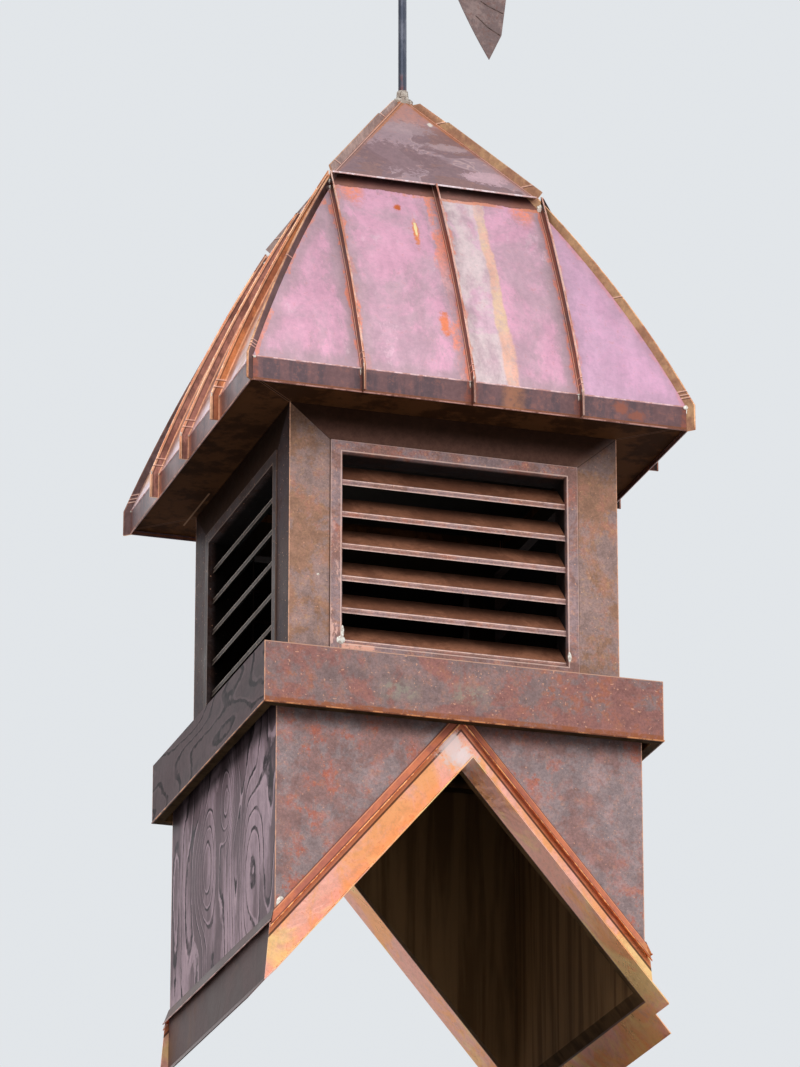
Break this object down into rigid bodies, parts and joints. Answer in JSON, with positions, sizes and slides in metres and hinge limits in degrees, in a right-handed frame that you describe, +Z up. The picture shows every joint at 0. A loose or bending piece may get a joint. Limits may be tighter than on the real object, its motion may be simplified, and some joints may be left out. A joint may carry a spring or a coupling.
{
  "type": "louvred roof cupola with wind vane",
  "caption": "Square copper-clad louvred roof cupola on a saddle-cut base, with a belt, a curved standing-seam roof, a pyramid cap and a wind vane that turns.",
  "frame": {"origin": "level ground under the centre of the plan, at the foot of the side flashings", "axes": "+Z up; the front face looks along -Y, and the roof ridge that the base straddles runs along Y"},
  "size_m": [0.964, 0.964, 2.5945],
  "materials": {
    "aged_copper_on_board": "brown oxidised copper sheet over plywood",
    "aged_copper": "brown oxidised copper sheet, satin",
    "roof_copper": "pink to orange oxidised copper sheet",
    "bright_copper": "newer orange copper sheet, semi-bright",
    "cap_copper": "mauve brown oxidised copper sheet",
    "soffit_copper": "dark brown copper, glossy",
    "vane_copper": "brown-grey aged copper plate",
    "mast_steel": "dark grey rod",
    "solder": "dull solder and sealant",
    "plywood": "bare plywood"
  },
  "bodies": {
    "cupola": {"apex_collar": "solder", "base_flashing_back": "bright_copper", "base_flashing_front": "bright_copper", "base_flashing_left": "bright_copper", "base_flashing_right": "bright_copper", "base_wall_back": "aged_copper_on_board", "base_wall_front": "aged_copper_on_board", "base_wall_left": "aged_copper_on_board", "base_wall_right": "aged_copper_on_board", "belt_back": "aged_copper", "belt_front": "aged_copper", "belt_left": "aged_copper", "belt_right": "aged_copper", "cap": "cap_copper", "cap_seams": "cap_copper", "counter_flashing_back": "bright_copper", "counter_flashing_front": "bright_copper", "counter_flashing_left": "bright_copper", "counter_flashing_right": "bright_copper", "hip_seams": "roof_copper", "louvre_blades_back": "aged_copper", "louvre_blades_front": "aged_copper", "louvre_blades_left": "aged_copper", "louvre_blades_right": "aged_copper", "louvre_frame_back": "aged_copper", "louvre_frame_front": "aged_copper", "louvre_frame_left": "aged_copper", "louvre_frame_right": "aged_copper", "louvre_wall_back": "aged_copper_on_board", "louvre_wall_front": "aged_copper_on_board", "louvre_wall_left": "aged_copper_on_board", "louvre_wall_right": "aged_copper_on_board", "mast": "mast_steel", "mast_ball": "vane_copper", "mast_block": "plywood", "roof_deck": "plywood", "roof_pans_back": "roof_copper", "roof_pans_front": "roof_copper", "roof_pans_left": "roof_copper", "roof_pans_right": "roof_copper", "soffit": "soffit_copper", "standing_seams": "roof_copper"},
    "vane": {"vane_arm": "vane_copper", "vane_pointer": "vane_copper", "vane_tail": "vane_copper"}
  },
  "joints": [
    {"name": "vane_spin", "type": "hinge", "parent": "cupola", "child": "vane", "pos_m": [0, 0, 2.42154], "axis": [0, 0, 1], "continuous": true}
  ]
}
